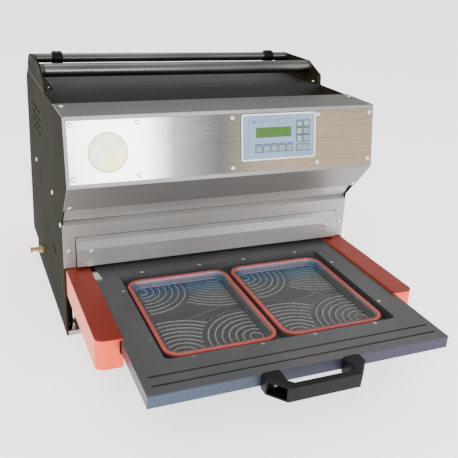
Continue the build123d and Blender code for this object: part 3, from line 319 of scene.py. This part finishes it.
def tray_clear():
    """A tray's walls and floor: hazy clear plastic, greyer low down, with a painted highlight along
    the ribs' crests and a painted blue reflection at the back.
    """
    # where the painted blue reflection at the tray's back begins and where it is full
    reflection_start, reflection_full = -0.305, -0.272
    wall_start, wall_full = -0.2565, -0.2545
    s = Shader("tray_clear", Metallic=0.0, Roughness=0.12, IOR=1.46, Alpha=0.55)
    haze = s.noise((40, 40, 40), detail=4.0)
    clear = s.ramp(
        s.span(s.along("Z"), tray_floor, tray_top),
        (0.000, (0.085, 0.085, 0.084)),
        (0.035, (0.105, 0.106, 0.104)),
        # the ribs' crests: a painted highlight
        (0.110, (0.40, 0.41, 0.40)),
        (0.140, (0.12, 0.12, 0.12)),
        (0.600, (0.16, 0.16, 0.16)),
        (1.000, (0.30, 0.24, 0.24)),
    )
    # painted blue reflection over the tray's back end, stronger on its back wall
    back = s.span(s.along("Y"), reflection_start, reflection_full)
    wall = s.span(s.along("Y"), wall_start, wall_full)
    blue_reflection = s.mix(wall, s.mix(back, white, (0.62, 1.15, 1.75)), (1.7, 1.5, 2.1))
    cloudy = s.ramp(haze, (0.3, grey(0.85)), (0.7, white))
    s.colour(s.mix(1.0, s.mix(1.0, clear, blue_reflection, "MULTIPLY"), cloudy, "MULTIPLY"))
    s.roughness(haze, 0.08, 0.20)
    s.bump(haze, 0.15, 0.0006)
    return s.mat


def tray_flange():
    """The tray's rim, thin and clear enough for the red gasket to show through."""
    s = Shader("tray_flange", Metallic=0.0, Roughness=0.15, IOR=1.46, Alpha=0.10)
    haze = s.noise((60, 60, 60), detail=4.0)
    s.colour(s.ramp(haze, (0.3, (0.52, 0.26, 0.24)), (0.7, (0.66, 0.36, 0.33))))
    s.roughness(haze, 0.10, 0.22)
    s.bump(haze, 0.15, 0.0006)
    return s.mat


def pearl_label():
    """A foil label with slow pale colour changes."""
    s = Shader("label_pearl", Metallic=0.35)
    drift = s.noise((16, 16, 16), detail=2.0, distort=0.8)
    foil = s.ramp(
        drift,
        (0.30, (0.52, 0.60, 0.28)),
        (0.45, (0.66, 0.66, 0.30)),
        (0.58, (0.48, 0.66, 0.52)),
        (0.72, (0.68, 0.60, 0.40)),
    )
    s.colour(foil)
    s.roughness(drift, 0.22, 0.32)
    s.bump(s.spots((700, 700, 700)), 0.1, 0.00004)
    return s.mat


# ---------------------------------------------------------------- finishes by slot
# Each row: dark and light colour, roughness range, then for sheet metal how metallic it is.
brushed_looks = {
    "base_steel": ((0.28, 0.28, 0.27), (0.42, 0.42, 0.41), (0.30, 0.50), 1.0),
    # deck_steel is painted shade: near black for the dark surroundings the deck mirrors
    "deck_steel": ((0.008, 0.008, 0.007), (0.016, 0.016, 0.014), (0.50, 0.62), 0.2),
    # trough_steel is a painted reflection: near white for the lit front that the trough's rear wall
    # faces
    "trough_steel": ((0.90, 0.91, 0.82), (0.98, 0.99, 0.92), (0.30, 0.42), 0.55),
    "recess_steel": ((0.40, 0.39, 0.37), (0.62, 0.61, 0.58), (0.34, 0.50), 0.62),
    "fascia_steel": ((0.26, 0.255, 0.24), (0.42, 0.405, 0.38), (0.32, 0.46), 0.6),
    "hood_steel": ((0.30, 0.30, 0.29), (0.48, 0.47, 0.46), (0.28, 0.42), 0.62),
    "heater_aluminium": ((0.5, 0.5, 0.51), (0.66, 0.66, 0.67), (0.35, 0.50), 1.0),
}
turned_looks = {
    "bright_steel": ((0.62, 0.62, 0.63), (0.80, 0.80, 0.81), (0.14, 0.24)),
    "roller_steel": ((0.085, 0.085, 0.082), (0.15, 0.15, 0.145), (0.26, 0.34)),
    "collar_black": (grey(0.010), grey(0.022), (0.30, 0.42)),
}
printed_looks = {
    "keypad_face": ((0.17, 0.26, 0.37), (0.21, 0.30, 0.42)),
    "display_green": ((0.050, 0.135, 0.020), (0.070, 0.165, 0.026), (0.14, 0.22)),
    "key_caps": ((0.16, 0.22, 0.24), (0.21, 0.27, 0.29), (0.28, 0.40)),
}
# The cast rows may go on with the grain's scale, its depth and how metallic it is.
cast_looks = {
    "screw_steel": ((0.62, 0.62, 0.63), (0.80, 0.80, 0.81), (0.16, 0.28), 900, 0.00003, 1.0),
    "bronze": ((0.48, 0.30, 0.13), (0.62, 0.42, 0.20), (0.30, 0.45), 900, 0.00005, 1.0),
    "brass_plated": ((0.55, 0.40, 0.16), (0.76, 0.58, 0.27), (0.20, 0.34), 900, 0.00004, 1.0),
    "gasket_rubber": ((0.27, 0.030, 0.022), (0.38, 0.050, 0.036), (0.50, 0.66), 500, 0.0002),
    "insulation": ((0.42, 0.36, 0.24), (0.58, 0.52, 0.38), (0.60, 0.80), 300, 0.0003),
    "slide_plastic": (grey(0.02), grey(0.04), (0.40, 0.55)),
    "black_plastic": (grey(0.010), grey(0.022), (0.40, 0.55)),
    "ring_orange": ((0.65, 0.07, 0.015), (0.78, 0.11, 0.025), (0.30, 0.42)),
    "rocker_red": ((0.36, 0.012, 0.010), (0.48, 0.020, 0.014), (0.18, 0.30)),
}
finishes = {
    # side_steel is a painted reflection: a dark olive-brown for the dark surroundings the side
    # plates mirror
    "side_steel": brushed(
        "side_steel",
        (0.011, 0.013, 0.006),
        (0.030, 0.022, 0.013),
        (0.66, 0.78),
        metallic=0.0,
        grain=upright,
        Specular_IOR_Level=0.03,
    ),
    "cover_steel": cover_steel(),
    "front_steel": front_steel(),
    "rail_anodised": anodised_rail(),
    "drawer_anodised": drawer_anodised(),
    "nest_aluminium": nest_aluminium(),
    "handle_plastic": cast(
        "handle_plastic",
        (0.0015, 0.0015, 0.0017),
        (0.004, 0.004, 0.0045),
        (0.38, 0.5),
        grain=700,
        depth=0.0001,
        Specular_IOR_Level=0.16,
    ),
    "tray_clear": tray_clear(),
    "tray_flange": tray_flange(),
}
for make, looks in (
    (brushed, brushed_looks),
    (turned, turned_looks),
    (printed, printed_looks),
    (cast, cast_looks),
):
    for slot_name, look in looks.items():
        finishes[slot_name] = make(slot_name, *look)

label_white = printed("label_white", (0.70, 0.74, 0.78), (0.80, 0.83, 0.86))
label_blue = printed("label_blue", (0.025, 0.05, 0.22), (0.04, 0.08, 0.30))
label_yellow = printed("label_yellow", (0.66, 0.50, 0.10), (0.78, 0.62, 0.16), (0.25, 0.35))
label_dark = printed("label_dark", (0.030, 0.040, 0.035), (0.045, 0.055, 0.050))
label_pearl = pearl_label()
cell_green = printed("cell_green", (0.040, 0.110, 0.017), (0.058, 0.135, 0.022), (0.12, 0.2))

for row in frame["record"]["subparts"]:
    node = frame["nodes"][row["node"]]
    for material_slot in node.material_slots:
        material_slot.material = finishes[row["material_slot"]]


# ---------------------------------------------------------------- mesh helpers
def mesh_object(name, verts, faces, material, body, smooth=False):
    """A new piece from points and faces, riding on a body."""
    mesh = bpy.data.meshes.new(name)
    mesh.from_pydata(verts, [], faces, shade_flat=not smooth)
    mesh.validate()
    mesh.update()
    obj = bpy.data.objects.new(name, mesh)
    bpy.context.scene.collection.objects.link(obj)
    mesh.materials.append(material)
    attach(obj, body)
    return obj


def ring_faces(first, second, count):
    """Faces between two rings of points, each ring given by its first point's number."""
    return [
        (first + i, first + (i + 1) % count, second + (i + 1) % count, second + i)
        for i in range(count)
    ]


def rounded_rectangle(half_x, half_y, radius, steps, centre=(0.0, 0.0)):
    """Points around a rounded rectangle, anticlockwise, with its corners in equal steps."""
    points = []
    for corner, (side_x, side_y) in enumerate(((1, 1), (-1, 1), (-1, -1), (1, -1))):
        for step in range(steps + 1):
            angle = math.radians(90 * (corner + step / steps))
            x = side_x * (half_x - radius) + radius * math.cos(angle)
            y = side_y * (half_y - radius) + radius * math.sin(angle)
            points.append((centre[0] + x, centre[1] + y))
    return points


def box_outline(x0, x1, y0, y1):
    """The four corners of a rectangle, anticlockwise."""
    return [(x0, y0), (x1, y0), (x1, y1), (x0, y1)]


# ---------------------------------------------------------------- panel frame
panel_foot = Vector((0.0, -0.2563, 0.306))
panel_normal = Vector((0.0, -0.986798, 0.161959))
panel_up = Vector((0.0, 0.161959, 0.986798))


def on_panel(x, y, height):
    """A point on the sloping front, x across, y up the slope and height off the sheet."""
    return panel_foot + Vector((x, 0, 0)) + panel_up * y + panel_normal * height


def plate(name, outline, low, high, material, body="cabinet", record_slot="keypad_face"):
    """A thin flat piece on the sloping front, from its outline and its two heights."""
    count = len(outline)
    verts = [on_panel(x, y, height) for height in (low, high) for x, y in outline]
    faces = [tuple(range(count, 2 * count)), tuple(reversed(range(count)))]
    faces += ring_faces(0, count, count)
    mesh_object(name, verts, faces, material, body)


def band(name, outer, inner, low, high, material, body="cabinet", record_slot="keypad_face"):
    """A thin closed band on the sloping front, between an outline and a smaller one."""
    count = len(outer)
    rings = [(outer, low), (outer, high), (inner, high), (inner, low)]
    verts = [on_panel(x, y, height) for ring, height in rings for x, y in ring]
    faces = []
    for ring in range(4):
        faces += ring_faces(ring * count, (ring + 1) % 4 * count, count)
    mesh_object(name, verts, faces, material, body)


# ---------------------------------------------------------------- keypad print
# Places on the keypad are measured from its middle, x to the right and y up the slope.
keypad_x = 0.0871
keypad_y = 0.0651
face_height = 0.0035
key_stand = 0.0008  # the keys stand this far above the keypad's face
display_recess = 0.0008  # and the display lies this far below it
ink = 0.00012  # a print's height above the surface it is on
sunk = 0.00002  # and how far it reaches into it


def keypad_box(name, x0, x1, y0, y1):
    """A printed blue bar on the keypad."""
    outline = box_outline(keypad_x + x0, keypad_x + x1, keypad_y + y0, keypad_y + y1)
    plate(name, outline, face_height - sunk, face_height + ink, label_blue)


def printed_frame(name, centre, outer, inner, steps, material, surface=face_height, **place):
    """A printed line round a rounded rectangle: outer and inner are half sizes and radius."""
    middle = (keypad_x + centre[0], keypad_y + centre[1])
    outlines = [rounded_rectangle(*size, steps, middle) for size in (outer, inner)]
    band(name, *outlines, surface - sunk, surface + ink, material, **place)


window = (-0.0109, 0.0077)
tag_middle = (0.0110, 0.0262)
border = ((0.0713, 0.0396, 0.0046), (0.0690, 0.0373, 0.0030))
# the last size is the painted shadow round the display window
window_shadow_band = ((0.0336, 0.0086, 0.0008), (0.03265, 0.0076, 0.0002))
tag = ((0.0130, 0.0044, 0.0030), (0.0126, 0.0040, 0.0026))
printed_frame("keypad_border", (0.0, 0.0), *border, 6, label_white)
# a dark band round the display window: painted shadow of the window's recessed edge
printed_frame("window_shadow_band", window, *window_shadow_band, 3, label_dark)

keypad_box("print_line_side", -0.0590, -0.0585, -0.0285, 0.0285)
keypad_box("print_line_top", -0.0590, 0.0060, 0.0285, 0.0290)
keypad_box("print_mark", -0.0510, -0.0455, 0.0240, 0.0272)
keypad_box("print_line_mark", -0.0440, -0.0060, 0.0252, 0.0256)
printed_frame("print_tag", tag_middle, *tag, 6, label_blue)

# The five function keys stand in a row, each with a short printed strip above it.
row_middle, row_pitch = -0.0096, 0.0147
strip_half, strip_low, strip_high = 0.0060, -0.0134, -0.0112
row_places = [row_middle + row_pitch * (index - 2) for index in range(5)]
for index, x in enumerate(row_places):
    keypad_box(f"print_strip_{index}", x - strip_half, x + strip_half, strip_low, strip_high)

# Sixteen blank character cells in each of the display's two lines.
cell_width, cell_height = 0.0029, 0.0052
cell_pitch, line_pitch = 0.00357, 0.0061
cells_left = keypad_x + window[0] - 0.0285
cells_bottom = keypad_y + window[1] - 0.0058
cell_surface = face_height - display_recess
cell_ink = 0.00006
for line in range(2):
    for cell in range(16):
        x0 = cells_left + cell * cell_pitch
        y0 = cells_bottom + line * line_pitch
        plate(
            f"display_cell_{line}_{cell}",
            box_outline(x0, x0 + cell_width, y0, y0 + cell_height),
            cell_surface - sunk,
            cell_surface + cell_ink,
            cell_green,
            record_slot="display_green",
        )

# Where each key's middle is and how wide it is: (x, y, width).
row_y, row_key_width = -0.0203, 0.0132
block_x, block_y = 0.0459, 0.0075  # the middle of the six number keys
block_pitch_x, block_pitch_y = 0.0137, 0.0129
number_key_width = 0.0122
enter_y, enter_width = -0.0210, 0.0259
key_places = {f"key_f{i + 1}": (x, row_y, row_key_width) for i, x in enumerate(row_places)}
for number in range(6):
    column, row = number % 2, 1 - number // 2
    x, y = block_x + block_pitch_x * (column - 0.5), block_y + block_pitch_y * row
    key_places[f"key_{number + 1}"] = (x, y, number_key_width)
key_places["key_enter"] = (block_x, enter_y, enter_width)

# A printed frame round each key's blank legend, and a plain bar on four of them.
key_top = face_height + key_stand
legend_margin, legend_half, line_width = 0.0005, 0.0055, 0.0006
key_marks = {  # half width and half height of the bar
    "key_1": (0.0030, 0.0006),
    "key_2": (0.0030, 0.0006),
    "key_3": (0.0006, 0.0034),
    "key_5": (0.0006, 0.0034),
}
for name, (x, y, width) in key_places.items():
    half = width / 2 - legend_margin
    outer = (half, legend_half, 0.0012)
    inner = (half - line_width, legend_half - line_width, 0.0008)
    on_key = {"body": name, "record_slot": "key_caps"}
    printed_frame(f"{name}_print", (x, y), outer, inner, 3, label_dark, key_top, **on_key)
    if name in key_marks:
        half_x, half_y = key_marks[name]
        centre_x, centre_y = keypad_x + x, keypad_y + y
        bar = box_outline(centre_x - half_x, centre_x + half_x, centre_y - half_y, centre_y + half_y)
        plate(f"{name}_mark", bar, key_top - sunk, key_top + ink, label_white, **on_key)


# ---------------------------------------------------------------- round sticker
sticker_x, sticker_y, plate_face = -0.2125, 0.0548, 0.0015


def sticker_disc(name, radius, low, high, material):
    """One round layer of the sticker, low and high measured from the front plate's face."""
    angles = [math.radians(degrees) for degrees in range(0, 360, 5)]
    outline = [
        (sticker_x + radius * math.cos(angle), sticker_y + radius * math.sin(angle))
        for angle in angles
    ]
    plate(name, outline, plate_face + low, plate_face + high, material, record_slot="front_steel")


sticker_disc("sticker_rim", radius=0.0320, low=-sunk, high=0.00015, material=label_yellow)
sticker_disc("sticker_middle", radius=0.0300, low=0.0001, high=0.00025, material=label_pearl)


# ---------------------------------------------------------------- trays
tray_y = -0.366
tray_spacing = 0.191
# Half width, half length and corner radius: of the mouth, and of the rim's rings outside it
# with how far each lies below the top.
mouth = (0.0832, 0.1138, 0.0178)
rim = (
    ((0.0910, 0.12175, 0.0255), 0.0008),
    ((0.0905, 0.12125, 0.0250), 0.0001),
    ((0.0890, 0.1198, 0.0236), 0.0),
    (mouth, 0.0),
)
wall_start, wall_taper = 0.0003, 0.0029  # how far the wall starts in from the mouth, and leans in
foot_inset = wall_start + wall_taper
wall_tightening, foot_tightening = 0.3, 0.0010  # how much smaller the corners get on the way down
ridge_height, ridge_half, ridge_slope, ridge_y = 0.0012, 0.0012, 0.35, -0.004
rib_height, rib_fade = 0.0015, 0.004
ribs_half_x, ribs_half_y = 0.0785, 0.1090  # the ribs end within these
# The ribs' four fans: where the arcs are centred, the ribs' pitch and the fan's reach.
fans = (
    (-0.0700, 0.0960, 0.0108, 0.084),
    (0.0640, -0.0920, 0.0108, 0.086),
    (-0.0560, -0.1080, 0.0108, 0.100),
    (0.0720, 0.1260, 0.0094, 0.116),
)


def tray_outline(half_x, half_y, radius):
    """Points round the tray, the same number at every size, so that rings can be joined."""
    corner_steps, side_steps = 10, (60, 84, 60, 84)
    corners = rounded_rectangle(half_x, half_y, radius, corner_steps)
    per_corner = corner_steps + 1
    points = []
    for corner, steps in enumerate(side_steps):
        arc = corners[corner * per_corner : (corner + 1) * per_corner]
        start = Vector(arc[-1])
        end = Vector(corners[(corner + 1) * per_corner % len(corners)])
        points += arc
        points += [tuple(start.lerp(end, step / steps)) for step in range(1, steps)]
    return points


def wall_ring(share):
    """One ring of the fluted wall, at a share of the way from the mouth to the foot."""
    flute_depth, flute_points, flute_rate = 0.0008, 4, 1.1  # they run out just above the foot
    about_half_x, about_half_y = 0.09, 0.12
    inset = wall_start + wall_taper * share
    flute = flute_depth * math.sin(math.pi * min(1.0, share * flute_rate)) ** 0.7
    ring = []
    radius = mouth[2] - wall_tightening * inset
    outline = tray_outline(mouth[0] - inset, mouth[1] - inset, radius)
    for index, (x, y) in enumerate(outline):
        wave = flute * (0.5 + 0.5 * math.cos(index * 2 * math.pi / flute_points))
        away = math.hypot(x / mouth[0], y / mouth[1])
        x *= 1 - wave / about_half_x / away
        y *= 1 - wave / about_half_y / away
        ring.append((x, y, tray_top - (tray_top - tray_floor) * share))
    return ring


def floor_height(x, y):
    """The floor's height: arched ribs within a fan, and one straight ridge between the fans."""
    for fan_x, fan_y, pitch, reach in fans:
        away = math.hypot(x - fan_x, y - fan_y)
        if away < reach:
            break
    else:
        off_ridge = abs(y - ridge_y - ridge_slope * x)
        return tray_floor + ridge_height * max(0.0, 1.0 - off_ridge / ridge_half)
    rib = 0.5 + 0.5 * math.cos(away * 2 * math.pi / pitch)
    inside_x = max(0.0, ribs_half_x - abs(x)) / rib_fade
    inside_y = max(0.0, ribs_half_y - abs(y)) / rib_fade
    return tray_floor + rib_height * rib ** 9 * min(1.0, inside_x, inside_y)


def floor_points(cells_x, cells_y):
    """The floor's grid of points, pulled in round its corners."""
    half_x, half_y = mouth[0] - foot_inset, mouth[1] - foot_inset
    radius = mouth[2] - foot_tightening
    points = []
    for j in range(cells_y + 1):
        for i in range(cells_x + 1):
            x = -half_x + 2 * half_x * i / cells_x
            y = -half_y + 2 * half_y * j / cells_y
            over_x = abs(x) - (half_x - radius)
            over_y = abs(y) - (half_y - radius)
            if over_x > 0 and over_y > 0 and math.hypot(over_x, over_y) > radius:
                shrink = radius / math.hypot(over_x, over_y)
                x = math.copysign(half_x - radius + over_x * shrink, x)
                y = math.copysign(half_y - radius + over_y * shrink, y)
            points.append((x, y, floor_height(x, y)))
    return points


def tray(name, centre_x):
    """A clear thermoformed tray: a rolled rim, fluted walls and a floor with arched ribs."""
    wall_rings = 10
    cells_x, cells_y = 190, 270
    rings = [[(x, y, tray_top - drop) for x, y in tray_outline(*size)] for size, drop in rim]
    rings += [wall_ring(ring / wall_rings) for ring in range(1, wall_rings + 1)]
    count = len(rings[0])
    faces = []
    for ring in range(len(rings) - 1):
        faces += ring_faces(ring * count, (ring + 1) * count, count)
    start = len(rings) * count
    for j in range(cells_y):
        for i in range(cells_x):
            a = start + j * (cells_x + 1) + i
            faces.append((a, a + 1, a + cells_x + 2, a + cells_x + 1))
    points = [point for ring in rings for point in ring] + floor_points(cells_x, cells_y)
    verts = [(centre_x + x, tray_y + y, z) for x, y, z in points]
    clear = finishes["tray_clear"]
    obj = mesh_object(f"{name}_formed", verts, faces, clear, name, smooth=True)
    obj.data.materials.append(finishes["tray_flange"])
    rim_faces = (len(rim) - 1) * count
    for polygon in obj.data.polygons[:rim_faces]:
        polygon.material_index = 1
    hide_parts(name)


tray("tray_left", -tray_spacing / 2)
tray("tray_right", tray_spacing / 2)


# ---------------------------------------------------------------- studio
def lamp(name, place, target, size, power):
    """A white rectangular lamp at a place, facing a target."""
    data = bpy.data.lights.new(name, "AREA")
    data.shape = "RECTANGLE"
    data.size, data.size_y = size
    data.energy = power
    obj = bpy.data.objects.new(name, data)
    obj.location = place
    obj.rotation_euler = (Vector(target) - Vector(place)).to_track_quat("-Z", "Y").to_euler()
    bpy.context.scene.collection.objects.link(obj)


lamp("key", (-1.6, -2.2, 2.4), (0, -0.1, 0.2), (1.6, 1.2), 60)
lamp("fill", (1.9, -1.6, 1.4), (0, 0, 0.2), (1.4, 1.4), 18)
lamp("top", (0.0, 0.4, 2.6), (0, 0, 0.3), (1.6, 1.2), 15)
lamp("front_card", (0.24, -2.2, 0.50), (-0.2, -0.25, 0.36), (0.46, 0.7), 16)

world = bpy.data.worlds.new("studio")
bpy.context.scene.world = world
world.use_nodes = True
background = world.node_tree.nodes["Background"]
background.inputs["Color"].default_value = (*white, 1.0)
background.inputs["Strength"].default_value = 1.0

# A floor that glows a little and reaches far out, so that it looks white and has no edge.
floor_reach = 40
floor_mesh = bpy.data.meshes.new("studio_floor")
floor_outline = box_outline(-floor_reach, floor_reach, -floor_reach, floor_reach)
floor_corners = [(x, y, 0) for x, y in floor_outline]
floor_mesh.from_pydata(floor_corners, [], [(0, 1, 2, 3)])
studio_floor = bpy.data.objects.new("studio_floor", floor_mesh)
bpy.context.scene.collection.objects.link(studio_floor)
paper = Shader(
    "studio_paper", Roughness=0.9, Emission_Color=(*white, 1.0), Emission_Strength=1.5
)
paper.colour(paper.ramp(paper.noise((0.6, 0.6, 0.6)), (0.3, grey(0.93)), (0.7, grey(0.96))))
floor_mesh.materials.append(paper.mat)

# The camera stands where the photo's was, as worked out from the cabinet's straight edges.
camera_data = bpy.data.cameras.new("camera")
camera_data.lens = 52.39
camera_data.sensor_width = 36.0
camera = bpy.data.objects.new("camera", camera_data)
camera.location = (-0.43543, -1.25260, 0.66501)
camera.rotation_euler = [math.radians(degrees) for degrees in (67.207, -2.969, -22.305)]
bpy.context.scene.collection.objects.link(camera)
bpy.context.scene.camera = camera
